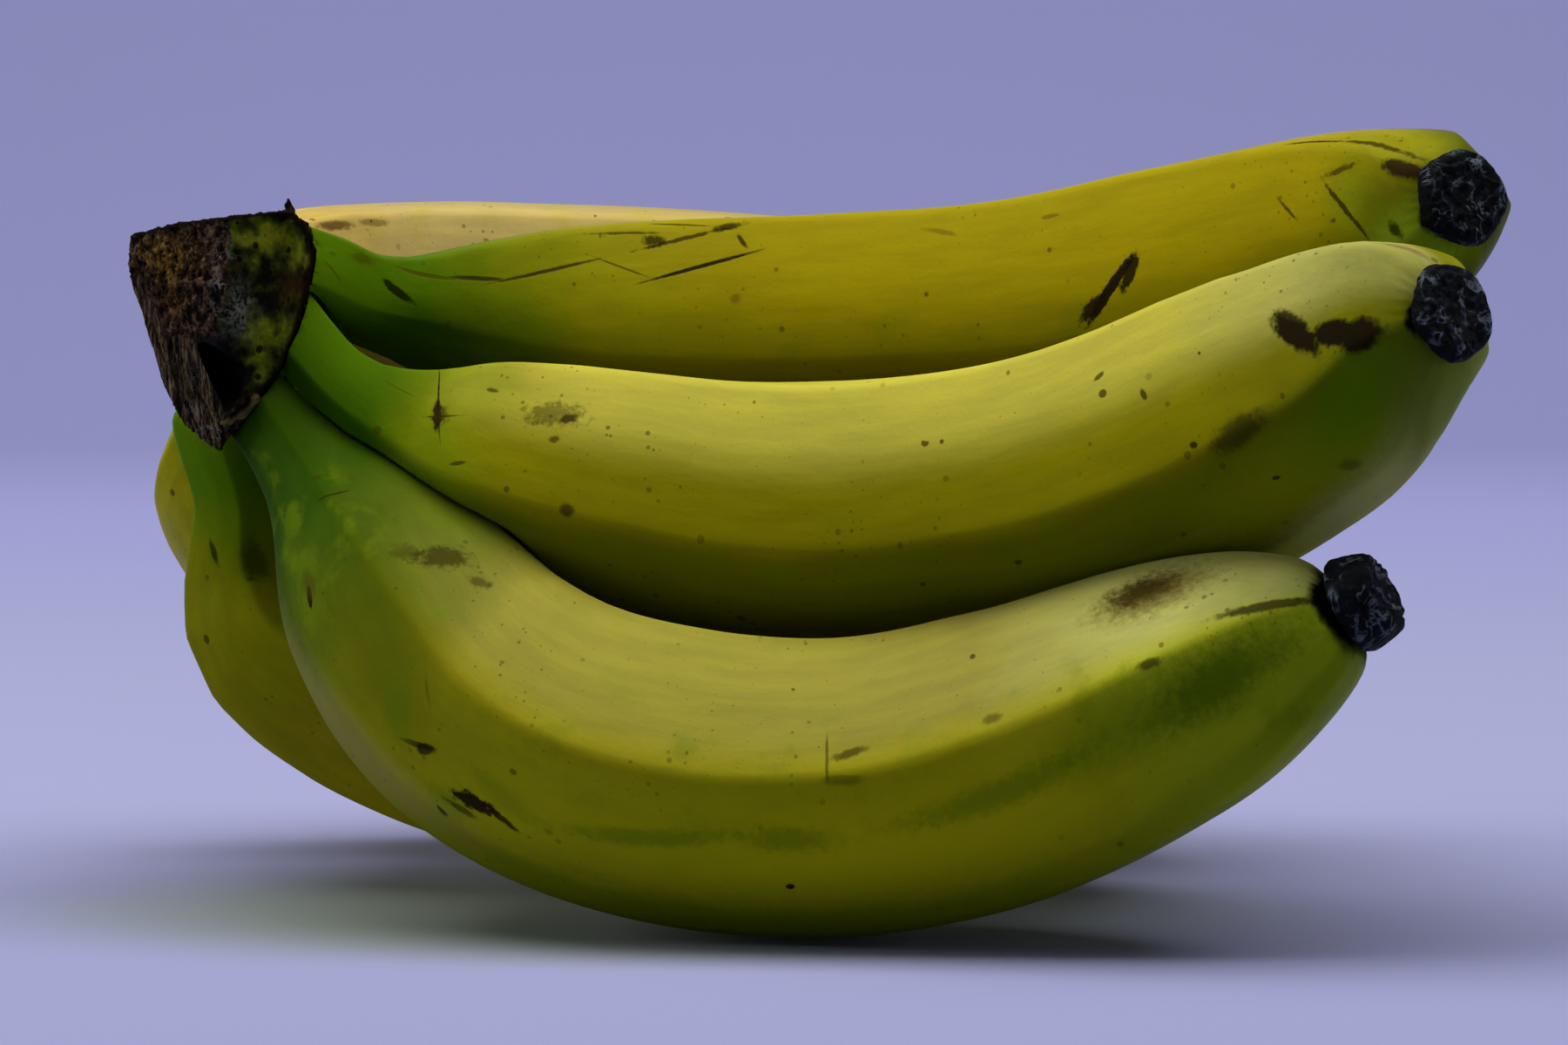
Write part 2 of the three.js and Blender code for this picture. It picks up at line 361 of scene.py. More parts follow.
def mark_shape():
    """A group that gives 1 inside a ragged long spot on a peel and 0 outside it."""
    group = bpy.data.node_groups.new("mark on peel", "ShaderNodeTree")
    face = group.interface
    face.new_socket("Straight", in_out="INPUT", socket_type="NodeSocketVector")
    for label in ("Turn", "Along", "Cos", "Sin", "Long", "Wide", "Rag", "Soft", "Grain"):
        face.new_socket(label, in_out="INPUT", socket_type="NodeSocketFloat")
    face.new_socket("Mask", in_out="OUTPUT", socket_type="NodeSocketFloat")
    given = group.nodes.new("NodeGroupInput").outputs
    split = add_node(group, "ShaderNodeSeparateXYZ", {}, {0: given["Straight"]}).outputs
    turn = maths(group, "ARCTAN2", split["Y"], split["X"])
    off_turn = maths(group, "SUBTRACT", turn, given["Turn"])
    off_turn = maths(group, "WRAP", off_turn, math.pi, -math.pi)
    flat = maths(group, "SQRT", maths(
        group, "ADD", maths(group, "POWER", split["X"], 2.0), maths(group, "POWER", split["Y"], 2.0)
    ))
    around = maths(group, "MULTIPLY", off_turn, flat)
    along = maths(group, "SUBTRACT", split["Z"], given["Along"])
    run = maths(
        group, "ADD", maths(group, "MULTIPLY", along, given["Cos"]),
        maths(group, "MULTIPLY", around, given["Sin"]),
    )
    across = maths(
        group, "SUBTRACT", maths(group, "MULTIPLY", around, given["Cos"]),
        maths(group, "MULTIPLY", along, given["Sin"]),
    )
    run, across = (
        maths(group, "POWER", maths(group, "ABSOLUTE", maths(group, "DIVIDE", far, size)), 2.0)
        for far, size in ((run, given["Long"]), (across, given["Wide"]))
    )
    reach = maths(group, "SQRT", maths(group, "ADD", run, across))
    reach = maths(group, "ADD", reach, swing(group, given["Grain"], given["Rag"]))
    mask = add_node(
        group, "ShaderNodeMapRange", {"interpolation_type": "SMOOTHSTEP"},
        {
            "Value": reach, "From Min": maths(group, "ADD", 1.0, given["Soft"]),
            "From Max": maths(group, "SUBTRACT", 1.0, given["Soft"]), "To Min": 0.0, "To Max": 1.0,
        },
    ).outputs["Result"]
    result = group.nodes.new("NodeGroupOutput")
    group.links.new(mask, result.inputs["Mask"])
    return group


peel_mark = mark_shape()


# Turns round the peel between which the underside's painted light and shade set in.
painted_underside_edge = (2.20, 2.34)
dot_scale, speck_scale = 330.0, 1000.0
dot_brown = (0.075, 0.045, 0.004, 1)
speck_brown = (0.085, 0.060, 0.005, 1)
dried_black = (0.004, 0.003, 0.002, 1)
skin_sheen = (1.0, 0.96, 0.25, 1)


def peel_finish(name, look, length):
    """The skin of one fruit: green at the neck and tip, yellow between, freckled and marked."""
    material, tree, skin = new_material(name)
    straight = add_node(
        tree, "ShaderNodeAttribute", {"attribute_type": "GEOMETRY", "attribute_name": "straight"}
    ).outputs["Vector"]
    split = add_node(tree, "ShaderNodeSeparateXYZ", {}, {0: straight}).outputs
    broad = cloud(tree, straight, 38.0, 2.0)
    streaks = cloud(tree, stretched(tree, straight, (1, 1, 0.16)), 420.0, 4.0, 0.6)
    fine = cloud(tree, straight, 1500.0, 4.0, 0.65)
    blotch = cloud(tree, straight, 130.0, 4.0, 0.6)

    # Colour along the fruit.
    along = maths(tree, "ADD", split["Z"], swing(tree, broad, 0.03))
    share = maths(tree, "DIVIDE", along, length)
    colour = colour_steps(tree, share, look["bands"])
    turn = maths(tree, "ABSOLUTE", maths(tree, "ARCTAN2", split["Y"], split["X"]))
    green = between(tree, blotch, 0.52, 0.68, 0.0, look["green_share"])
    green = maths(tree, "MULTIPLY", green, between(tree, turn, 0.75, 1.15, 0.25, 1.0))
    colour = mix_colour(tree, green, colour, (*look["green"], 1))

    # Painted light and shade by the turn round the peel. The inner face is painted paler and bluer,
    # a painted sheen. The outer faces, beyond a ridge, are painted darker as shade, with some of the
    # peel's own greener tint. Beyond the next ridge the underside takes painted light on the middle
    # fruit and painted shade on the lower one.
    edge = maths(tree, "ADD", turn, swing(tree, broad, 0.35))
    tone = between(tree, streaks, 0.25, 0.75, 0.90, 1.08)
    near, far = (math.radians(turned) for turned in look["shade_from"])
    start, full = (math.radians(turned) for turned in look["pale"])
    pale = maths(
        tree, "MULTIPLY", between(tree, turn, start, full), between(tree, share, 0.15, 0.31)
    )
    # Painted sheen: the inner face made paler and bluer.
    painted_sheen, painted_sheen_blue = (maths(tree, "MULTIPLY_ADD", pale, high - 1, 1.0) for high in look["inner"])
    # Painted shade on the outer faces, with some of the peel's own greener tint.
    painted_shade, painted_shade_green = (between(tree, edge, near, far, 1.0, low) for low in look["outer"])
    # Painted light and shade on the underside, beyond the next ridge.
    under, painted_under_blue = (between(tree, edge, *painted_underside_edge, 1.0, high) for high in look["under"])
    tone = maths(tree, "MULTIPLY", maths(tree, "MULTIPLY", tone, painted_sheen), under)
    colour = mix_colour(tree, 1.0, colour, add_node(tree, "ShaderNodeCombineColor", {}, {
        0: maths(tree, "MULTIPLY", tone, painted_shade), 1: maths(tree, "MULTIPLY", tone, painted_shade_green),
        2: maths(tree, "MULTIPLY", painted_sheen_blue, maths(tree, "MULTIPLY", painted_shade, painted_under_blue)),
    }).outputs[0], "MULTIPLY")

    # Freckles: a few small brown dots, and crowds of finer ones.
    away, pick = cells(tree, straight, dot_scale)
    size = maths(tree, "MULTIPLY", maths(tree, "POWER", pick[0], 3.0), look["freckles"])
    dot = between(tree, maths(tree, "SUBTRACT", size, away), -0.03, 0.02)
    dot = maths(tree, "MULTIPLY", dot, maths(tree, "MULTIPLY_ADD", pick[1], 0.7, 0.2))
    colour = mix_colour(tree, dot, colour, dot_brown)
    away, pick = cells(tree, straight, speck_scale)
    crowd = between(tree, cloud(tree, straight, 55.0, 3.0), 0.50, 0.68, 0.10, 0.42)
    size = maths(tree, "MULTIPLY", maths(tree, "POWER", pick[0], 4.0), crowd)
    speck = between(tree, maths(tree, "SUBTRACT", size, away), -0.10, 0.02)
    colour = mix_colour(tree, maths(tree, "MULTIPLY", speck, 0.55), colour, speck_brown)

    # Scars, bruises and scratches, each at its own place. A few of these marks are painted light and
    # painted shade instead.
    grain = cloud(tree, straight, 900.0, 4.0, 0.7)
    worn_and_painted = None
    for around, at, lean, long, wide, rag, soft, strength, tint in look["marks"]:
        spot = add_node(tree, "ShaderNodeGroup", {"node_tree": peel_mark}, {
            "Straight": straight, "Turn": math.radians(around), "Along": at / 1000,
            "Cos": math.cos(math.radians(lean)), "Sin": math.sin(math.radians(lean)),
            "Long": long / 1000, "Wide": wide / 1000, "Rag": rag, "Soft": soft, "Grain": grain,
        }).outputs["Mask"]
        spot = maths(tree, "MULTIPLY", spot, strength)
        colour = mix_colour(tree, spot, colour, (*tint, 1))
        worn_and_painted = spot if worn_and_painted is None else maths(tree, "MAXIMUM", worn_and_painted, spot)

    # The peel dries dark where it meets the blossom end.
    to_end = maths(tree, "SUBTRACT", length, split["Z"])
    to_end = maths(tree, "ADD", to_end, swing(tree, blotch, 0.004))
    dry = between(tree, to_end, look["dry_tip"] / 1000, look["dry_tip"] / 2500)
    colour = mix_colour(tree, dry, colour, dried_black)

    tree.links.new(colour, skin.inputs["Base Color"])
    worn_and_painted = maths(tree, "MAXIMUM", worn_and_painted, dry)
    gloss = between(tree, fine, 0.3, 0.7, 0.40, 0.54)
    gloss = maths(tree, "ADD", gloss, maths(tree, "MULTIPLY", worn_and_painted, 0.3))
    tree.links.new(gloss, skin.inputs["Roughness"])
    wax = between(tree, share, 0.12, 0.30, 0.02, look["wax"])
    wax = maths(tree, "MULTIPLY", wax, maths(tree, "SUBTRACT", 1.0, dry))
    tree.links.new(wax, skin.inputs["Specular IOR Level"])
    skin.inputs["Specular Tint"].default_value = skin_sheen
    relief = maths(
        tree, "ADD", maths(tree, "MULTIPLY", streaks, 0.5), maths(tree, "MULTIPLY", fine, 0.22)
    )
    relief = maths(tree, "ADD", relief, maths(tree, "MULTIPLY", blotch, 0.9))
    relief = maths(tree, "SUBTRACT", relief, maths(tree, "MULTIPLY", worn_and_painted, 0.5))
    add_relief(tree, skin, relief, 0.35, 0.0004)
    return material


neck_green = (0.062, 0.156, 0.0009)
shaded_green = (0.046, 0.108, 0.0008)
deep_green = (0.15, 0.22, 0.002)
leaf_green = (0.15, 0.25, 0.003)
soft_green = (0.22, 0.29, 0.003)
body_yellow = (0.49, 0.43, 0.006)
golden = (0.51, 0.40, 0.003)
tip_green = (0.22, 0.28, 0.004)
dark_brown = (0.012, 0.007, 0.003)
bruise_brown = (0.042, 0.026, 0.004)
dull_brown = (0.020, 0.014, 0.004)
soft_brown = (0.13, 0.085, 0.010)
olive = (0.10, 0.10, 0.003)

# Marks are: turn round the peel from its inner ridge and place along it, lean, half length, half
# width, raggedness, softness, strength and colour. Millimetres and degrees.
# In each look, pale and inner set the painted sheen on the inner face. The outer factors and the turns
# where they begin set the painted shade on the outer faces. Under sets the painted light and shade on
# the underside.
front_peels = {
    "front_lower": {
        "bands": [
            (0.0, shaded_green), (0.15, shaded_green), (0.245, (0.20, 0.23, 0.003)),
            (0.33, (0.44, 0.385, 0.006)), (0.52, (0.44, 0.385, 0.006)), (0.72, (0.385, 0.335, 0.007)),
            # Near the tip the band is painted lighter, as painted light where the middle fruit's tip
            # shades it.
            (0.90, (0.60, 0.595, 0.020)), (0.99, (0.36, 0.38, 0.012)),
        ],
        "green": soft_green, "green_share": 0.5, "freckles": 0.17, "dry_tip": 1.9, "wax": 0.05,
        "pale": (76, 52), "inner": (1.03, 7.6), "outer": (0.92, 1.06),
        "shade_from": (68, 78), "under": (0.72, 0.8),
        "marks": [
            (104, 116, 0, 34, 9, 0.5, 0.8, 0.75, (0.66, 0.62, 0.003)),
            # Painted shade on the belly, where the fruit rests on the sheet.
            (150, 100, 0, 34, 8, 0.5, 0.8, 0.85, (0.06, 0.11, 0.001)),
            # Painted light on the top near the tip, under the middle fruit's tip.
            (-10, 160, 0, 12, 7, 0.5, 0.8, 0.7, (0.88, 0.85, 0.25)),
            (92, 150, 0, 13, 4.2, 0.8, 0.6, 0.6, leaf_green),
            (122, 162, 0, 20, 9, 0.6, 0.7, 0.4, (0.17, 0.26, 0.002)),
            (94, 160, 0, 9, 3, 1.6, 0.7, 0.7, (0.055, 0.13, 0.001)),
            (100, 52, 0, 13, 7, 0.6, 0.8, 0.45, (0.17, 0.16, 0.002)),
            (138, 50, -8, 13, 2.6, 0.8, 0.8, 0.45, (0.42, 0.37, 0.13)),
            (68, 28, -74, 2.1, 0.16, 0.6, 0.3, 0.8, bruise_brown),
            (40, 44, -60, 3.2, 1.7, 2.6, 0.5, 0.75, bruise_brown),
            (53, 41, -52, 2.2, 1.1, 3, 0.5, 0.45, bruise_brown),
            (34, 50, -35, 1.6, 0.8, 2.6, 0.5, 0.6, bruise_brown),
            (114, 37, 20, 1.3, 0.5, 0.6, 0.2, 0.95, dark_brown),
            (111, 36, 0, 1.7, 1, 1, 0.5, 0.5, soft_brown),
            (107, 59, -33, 2.4, 0.4, 1.4, 0.3, 0.8, bruise_brown),
            (106, 60, -48, 1.3, 0.75, 0.9, 0.25, 0.85, dark_brown),
            (114, 67, -4, 2.4, 1.1, 1.9, 0.25, 0.97, dark_brown),
            (114, 70, 22, 2, 0.5, 2, 0.3, 0.9, dark_brown),
            (121, 66, 0, 1.9, 0.5, 2.4, 0.4, 0.7, bruise_brown),
            (128, 64, 20, 0.7, 0.3, 1.2, 0.3, 0.8, dark_brown),
            (64, 110, -8, 2.1, 0.55, 1.6, 0.45, 0.75, bruise_brown),
            (65, 107, 88, 2.9, 0.2, 1.4, 0.45, 0.65, bruise_brown),
            (74, 109, 5, 2.2, 0.6, 1.4, 0.5, 0.55, olive),
            (84, 57, 45, 1.8, 0.18, 1.6, 0.5, 0.45, olive),
            (118, 102, 0, 0.5, 0.4, 0.5, 0.2, 0.97, dark_brown),
            (102, 55, 59, 4, 2, 0.9, 0.6, 0.55, leaf_green),
            (104, 70, 20, 4, 1.4, 1.2, 0.6, 0.4, leaf_green),
            (100, 86, -12, 9, 1.2, 2.2, 0.6, 0.6, leaf_green),
            (96, 102, 3, 5, 1.6, 2, 0.6, 0.6, leaf_green),
            (94, 129, -1, 13, 1.7, 2, 0.6, 0.6, leaf_green),
            (28, 155, -9, 6.8, 3.8, 1.5, 0.7, 0.9, soft_brown),
            (25, 153.5, -9, 4.2, 2.3, 2, 0.6, 0.85, bruise_brown),
            (67, 168.5, 6, 5.8, 0.7, 1.2, 0.35, 0.85, dark_brown),
            (73, 153, 4, 1.5, 0.55, 1.6, 0.5, 0.8, bruise_brown),
            (66, 131, 4, 1.4, 0.6, 1.4, 0.5, 0.6, bruise_brown),
        ],
    },
    "front_middle": {
        "bands": [
            (0.0, neck_green), (0.13, neck_green), (0.185, (0.25, 0.29, 0.002)),
            (0.25, (0.33, 0.293, 0.0022)), (0.80, (0.33, 0.293, 0.0022)),
            (0.93, (0.27, 0.255, 0.0042)), (0.99, (0.27, 0.255, 0.0042)),
        ],
        "green": soft_green, "green_share": 0.22, "freckles": 0.2, "dry_tip": 0.9, "wax": 0.035,
        "pale": (52, 20), "inner": (2.1, 30), "outer": (0.54, 0.68),
        "shade_from": (66, 78), "under": (2.4, 30),
        "marks": [
            (106, 150, 0, 12, 6, 0.6, 0.8, 0.5, (0.38, 0.40, 0.003)),
            (105, 163, 8, 13, 6, 0.6, 0.7, 0.7, (0.15, 0.24, 0.003)),
            (92, 164, 8, 8, 4, 0.8, 0.7, 0.8, (0.11, 0.23, 0.001)),
            # Painted light on the underside near the tip, as light thrown up from the sheet.
            (150, 153, 0, 14, 6.5, 0.6, 0.7, 0.7, (0.62, 0.60, 0.22)),
            (150, 169, 0, 9, 8, 0.6, 0.7, 0.7, (0.12, 0.16, 0.012)),
            (8, 14, 0, 10, 4.5, 0.5, 0.8, 0.7, (0.12, 0.25, 0.001)),
            (15, 171, 0, 7, 7, 0.6, 0.8, 0.4, (0.17, 0.20, 0.004)),
            (29, 31, 60, 6.2, 0.16, 1, 0.35, 0.9, dark_brown),
            (40, 32, 60, 2.4, 0.7, 1.9, 0.3, 0.97, dark_brown),
            (40, 32.5, 40, 1.5, 1.2, 3, 0.5, 0.75, bruise_brown),
            (40, 33, -14, 3, 0.14, 1.3, 0.4, 0.8, bruise_brown),
            (24, 24, 15, 2.7, 0.13, 0.7, 0.4, 0.65, olive),
            (27, 48, -9, 3.4, 1.6, 3.4, 0.55, 0.6, bruise_brown),
            (28, 50, -27, 1.1, 0.6, 1.6, 0.35, 0.85, bruise_brown),
            (18, 39, 9, 0.9, 0.3, 1.5, 0.4, 0.75, bruise_brown),
            (40, 49, -19, 0.7, 0.45, 2.2, 0.45, 0.75, bruise_brown),
            (103, 21, 78, 1.3, 0.7, 0.9, 0.35, 0.9, dark_brown),
            (64, 38, -25, 1, 0.25, 0.8, 0.3, 0.75, bruise_brown),
            (70, 53, 11, 0.9, 0.7, 1.3, 0.4, 0.8, bruise_brown),
            (44, 160, 55, 4.4, 1.5, 1.1, 0.25, 1, dull_brown),
            (36, 160, 50, 2.9, 0.8, 1.6, 0.35, 0.9, dull_brown),
            (57, 165.5, 30, 3.4, 1.5, 0.9, 0.22, 1, dull_brown),
            (66, 168.5, 20, 2.8, 1.9, 0.8, 0.25, 1, dull_brown),
            (72, 147, -4, 4.6, 1.5, 1.2, 0.45, 0.8, (0.045, 0.035, 0.004)),
            (68, 140, 20, 0.6, 0.4, 0.8, 0.3, 0.85, dark_brown),
            (39, 135, 77, 0.9, 0.4, 0.6, 0.3, 0.85, bruise_brown),
            (22, 129, -20, 0.9, 0.35, 1.2, 0.3, 0.8, bruise_brown),
            (114, 155, 45, 1.4, 0.9, 1, 0.5, 0.5, bruise_brown),
            (88, 112, 0, 0.5, 0.4, 1, 0.3, 0.7, dark_brown),
            (98, 147, 20, 0.6, 0.35, 1, 0.3, 0.8, dark_brown),
            (-20, 170, -30, 2.2, 0.8, 1.4, 0.45, 0.6, (0.20, 0.10, 0.05)),
        ],
    },
    "front_upper": {
        "bands": [
            (0.0, (0.10, 0.21, 0.0012)), (0.12, (0.10, 0.21, 0.0012)), (0.17, (0.17, 0.23, 0.0015)),
            (0.24, (0.36, 0.33, 0.003)), (0.43, (0.465, 0.37, 0.0022)), (0.88, (0.465, 0.37, 0.0022)),
            (0.97, (0.28, 0.29, 0.003)),
        ],
        "green": soft_green, "green_share": 0.25, "freckles": 0.17, "dry_tip": 0.8, "wax": 0.035,
        "pale": (56, 22), "inner": (1, 1.5), "outer": (0.40, 0.46),
        "shade_from": (34, 76), "under": (1, 1),
        "marks": [
            (35, 166, 20, 4.8, 3.6, 0.9, 0.45, 0.55, (0.24, 0.31, 0.006)),
            # Painted shade under the middle fruit's tip.
            (40, 173.5, 0, 6, 5, 0.8, 0.7, 0.6, (0.08, 0.095, 0.002)),
            (88, 172, 0, 6, 5.5, 0.5, 0.7, 0.85, (0.36, 0.52, 0.02)),
            (58, 9, 0, 7, 4, 0.5, 0.8, 0.6, (0.16, 0.33, 0.001)),
            (20, 21, 14, 4, 0.3, 0.6, 0.35, 0.85, olive),
            (27, 28, 7, 3.6, 0.34, 0.6, 0.35, 0.9, bruise_brown),
            (24, 38, -10, 7.4, 0.28, 0.8, 0.4, 0.9, bruise_brown),
            (24, 49, 22, 4.1, 0.16, 1.2, 0.5, 0.65, bruise_brown),
            (25, 61, -15, 8.5, 0.3, 0.6, 0.3, 0.95, dark_brown),
            (10, 58, -12, 6.2, 0.3, 2, 0.4, 0.85, bruise_brown),
            (5, 50, 3, 5, 0.2, 1.8, 0.5, 0.75, bruise_brown),
            (10, 54, 7, 1.6, 0.8, 2.4, 0.45, 0.85, dark_brown),
            (2, 58, 6, 4.4, 0.16, 1.2, 0.4, 0.75, bruise_brown),
            (4, 65, -10, 2.2, 0.5, 2, 0.4, 0.85, dark_brown),
            (42, 17, 30, 2.9, 0.6, 1, 0.25, 0.97, (0.014, 0.022, 0.002)),
            (12, 67, 56, 1.2, 0.35, 1, 0.3, 0.85, dark_brown),
            (14, 11, -15, 1.6, 0.6, 1.8, 0.45, 0.75, olive),
            (48, 8, 41, 1.8, 0.12, 0.8, 0.4, 0.75, olive),
            (53, 125, -46, 5.6, 0.75, 1.1, 0.16, 0.98, dark_brown),
            (48, 128, -60, 2.8, 0.8, 1.3, 0.2, 0.95, dark_brown),
            (60, 122, -40, 2.4, 0.9, 2.2, 0.25, 0.95, dark_brown),
            (40, 164, 49, 5.2, 0.36, 1.9, 0.4, 0.9, bruise_brown),
            (35, 154, 47, 2.4, 0.24, 1.4, 0.4, 0.8, bruise_brown),
            (1, 172.5, -10, 2.4, 1.1, 1.4, 0.3, 0.95, (0.03, 0.013, 0.005)),
            (-5, 157, -5, 5, 0.40, 2.2, 0.4, 0.9, bruise_brown),
            (-11, 167, -9, 5.8, 0.5, 2.3, 0.45, 0.85, bruise_brown),
            (14, 163, -20, 2.4, 0.4, 2.3, 0.45, 0.75, bruise_brown),
            (12, 116, 0, 1.3, 0.3, 1.2, 0.45, 0.6, soft_brown),
            (12, 97, 12, 2.6, 0.35, 1.6, 0.5, 0.5, soft_brown),
            (58, 171.5, 65, 1.2, 0.6, 2, 0.4, 0.85, dark_brown),
            (43, 66, 0, 0.7, 0.65, 0.6, 0.6, 0.6, soft_brown),
        ],
    },
}
for fruit in front_fruits:
    peel = grow_peel(fruit)
    look = front_peels[fruit["name"]]
    dress(peel, peel_finish("skin_" + fruit["name"], look, fruit["length"]))


# ---- Peels of the three back fruits ----
# The same peel, on the side of the hand that faces away: yellower, and less marked.
back_fruits = [
    {
        "name": "back_lower", "radius": 17.2, "bluntness": 1, "stub": 4.5,
        "side": (0, -1, 0), "ridge_turns": (16, 10, -16),
        "route": [
            (-79, 3, 67), (-78, 6, 60), (-76.5, 9, 52), (-76, 12, 43.5), (-72, 13, 35.2),
            (-61, 13, 29), (-40, 12, 22), (-16, 10, 17.8), (8, 9, 18.1), (29, 7, 22.3),
            (47, 3, 30), (60, -2, 38),
        ],
    },
    {
        "name": "back_middle", "radius": 17, "bluntness": 1.1, "stub": 4,
        "side": (0, -0.5, -0.87), "ridge_turns": (20, 20, 20),
        "route": [
            (-78, 7, 73), (-79.3, 15, 69), (-79.8, 27, 62), (-78.8, 37, 53), (-70.5, 44, 41),
            (-52, 46.5, 30), (-29, 47, 20.5), (-6, 46, 17), (18, 44, 19.5), (39, 37, 27),
            (53, 32, 35.5), (61, 28, 41),
        ],
    },
    {
        "name": "back_upper", "radius": 17.2, "bluntness": 1.1, "stub": 4,
        "side": (0, 0, -1), "ridge_turns": (18, 18, 18),
        "route": [
            (-75, 5, 82), (-78, 14, 83), (-79, 24, 82.2), (-75, 34, 80.2), (-64, 44.5, 77.5),
            (-44, 51.5, 76), (-18, 54, 74.5), (7, 53.5, 73), (31, 48, 74), (53, 40.5, 78),
            (71, 29, 84),
        ],
    },
]
back_look = {
    "green": soft_green, "green_share": 0.3, "freckles": 0.18, "dry_tip": 2.5, "pale": (56, 22),
    "shade_from": (68, 80), "under": (1, 1),
}
back_peels = {
    "back_lower": {
        **back_look,
        "bands": [
            (0.0, (0.12, 0.26, 0.0015)), (0.07, (0.12, 0.26, 0.0015)), (0.15, (0.24, 0.25, 0.0025)),
            (0.26, (0.34, 0.30, 0.004)), (0.42, (0.62, 0.55, 0.005)),
            (0.80, body_yellow), (0.93, tip_green), (0.99, deep_green),
        ],
        "wax": 0.05, "inner": (1, 3), "outer": (1, 1),
        "marks": [
            (106, 21, -31, 1.6, 0.5, 1, 0.4, 0.8, dark_brown),
            (60, 22, 0, 3.2, 1.6, 1.4, 0.6, 0.6, (0.03, 0.04, 0.003)),
            (150, 90, 8, 5, 0.5, 1.4, 0.4, 0.7, bruise_brown),
            (180, 60, -20, 2, 1.2, 1.6, 0.4, 0.7, bruise_brown),
        ],
    },
    "back_middle": {
        **back_look,
        "bands": [
            (0.0, neck_green), (0.07, soft_green), (0.15, body_yellow), (0.30, golden),
            (0.80, golden), (0.94, tip_green), (0.99, tip_green),
        ],
        "wax": 0.10, "inner": (1.05, 5), "outer": (0.85, 0.88),
        "marks": [
            (120, 90, 12, 6, 0.35, 1.2, 0.4, 0.75, bruise_brown),
            (160, 120, -30, 2.4, 1.3, 1.7, 0.35, 0.85, dark_brown),
            (95, 60, 25, 1.8, 1, 2, 0.45, 0.7, bruise_brown),
        ],
    },
    "back_upper": {
        **back_look,
        "bands": [
            (0.0, neck_green), (0.06, soft_green), (0.12, (0.80, 0.55, 0.12)),
            (0.28, (0.62, 0.46, 0.16)), (0.62, (0.58, 0.43, 0.11)), (0.93, soft_green),
            (0.99, tip_green),
        ],
        "green": golden, "dry_tip": 2, "wax": 0.12,
        "pale": (104, 72), "inner": (1.27, 1.15), "outer": (0.92, 0.95),
        "marks": [
            (-66, 33, 4, 3, 0.7, 1.6, 0.45, 0.8, (0.10, 0.045, 0.01)),
            (-66, 40, 2, 2.8, 0.5, 1.6, 0.45, 0.6, (0.14, 0.07, 0.015)),
            (-120, 100, -8, 7, 0.3, 1.2, 0.4, 0.75, bruise_brown),
            (-150, 70, 35, 2.2, 1.1, 1.8, 0.4, 0.8, dark_brown),
            (180, 130, 10, 3.5, 0.8, 1.6, 0.4, 0.75, bruise_brown),
        ],
    },
}
for fruit in back_fruits:
    peel = grow_peel(fruit)
    look = back_peels[fruit["name"]]
    dress(peel, peel_finish("skin_" + fruit["name"], look, fruit["length"]))


# ---- Blossom ends ----
# The withered end of the flower, a short black stub on each tip, dried to crinkled fibres.
stub_sides = 20
stub_gap = 0.00035
stub_blacks = ((0.0008, 0.0010, 0.0013, 1), (0.008, 0.010, 0.014, 1))
fibre_grey = (0.17, 0.21, 0.25, 1)


def dry_stub(fruit):
    name = fruit["name"]
    line, reached = smooth_route(fruit["route"])
    start, end = reached[-1] - fruit["stub"] / 1000 + stub_gap, reached[-1]
    span = end - start
    rings = [
        (start - 0.0008, 0.0066), (start + span * 0.15, 0.0064), (start + span * 0.5, 0.0060),
        (end - 0.0010, 0.0055), (end - 0.0003, 0.0047), (end - 0.0004, 0.0034),
        (end - 0.0007, 0.0016),
    ]
    stub = raise_rings("stub_" + name, stub_sides, rings)
    smooth_over(stub, 3)
    for vertex in stub.data.vertices:
        x, y, z = vertex.co
        turn = math.atan2(y, x)
        folds = 0.4 - abs(noise.noise(Vector((x, y, z * 0.5)) * 520)) * 2
        crinkle = folds * 0.0004 + noise.noise(Vector((x, y, z * 0.6)) * 1300) * 0.0003
        face = min(max((z - end + 0.0012) / 0.0008, 0), 1)
        pull = 1 + 0.03 * math.cos(5 * turn) - 0.04 + crinkle * (0.35 + 0.4 * face) / 0.006
        vertex.co = (x * pull, y * pull, z + (crinkle - 0.0003) * face)
    lay_along(stub, fruit, False)
    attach(stub, "root")
    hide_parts("blossom_end_" + name)
    return stub


def strands(tree, vector, scale):
    """Thin wavy lines, where two clouds cross their middle value."""
    lines = None
    for turned in ((1, 1, 1), (-1, 1.3, 1)):
        wave = add_node(tree, "ShaderNodeTexNoise", {}, {
            "Vector": stretched(tree, vector, turned), "Scale": scale, "Detail": 4.0, "Distortion": 0.9,
        }).outputs["Fac"]
        line = between(tree, maths(tree, "ABSOLUTE", maths(tree, "SUBTRACT", wave, 0.5)), 0.034, 0.002)
        lines = line if lines is None else maths(tree, "MAXIMUM", lines, line)
    return lines


def stub_finish():
    material, tree, skin = new_material("withered blossom end")
    place = add_node(tree, "ShaderNodeTexCoord").outputs["Object"]
    lumps = cloud(tree, place, 500.0, 5.0, 0.7)
    hair = maths(tree, "MULTIPLY", strands(tree, place, 240.0), between(
        tree, cloud(tree, place, 330.0, 2.0), 0.46, 0.62, 0.0, 0.8))
    colour = mix_colour(tree, between(tree, lumps, 0.35, 0.7), *stub_blacks)
    colour = mix_colour(tree, hair, colour, fibre_grey)
    tree.links.new(colour, skin.inputs["Base Color"])
    skin.inputs["Roughness"].default_value = 0.6
    skin.inputs["Specular IOR Level"].default_value = 0.06
    relief = maths(tree, "ADD", lumps, maths(tree, "MULTIPLY", hair, 0.5))
    add_relief(tree, skin, relief, 0.9, 0.0006)
    return material


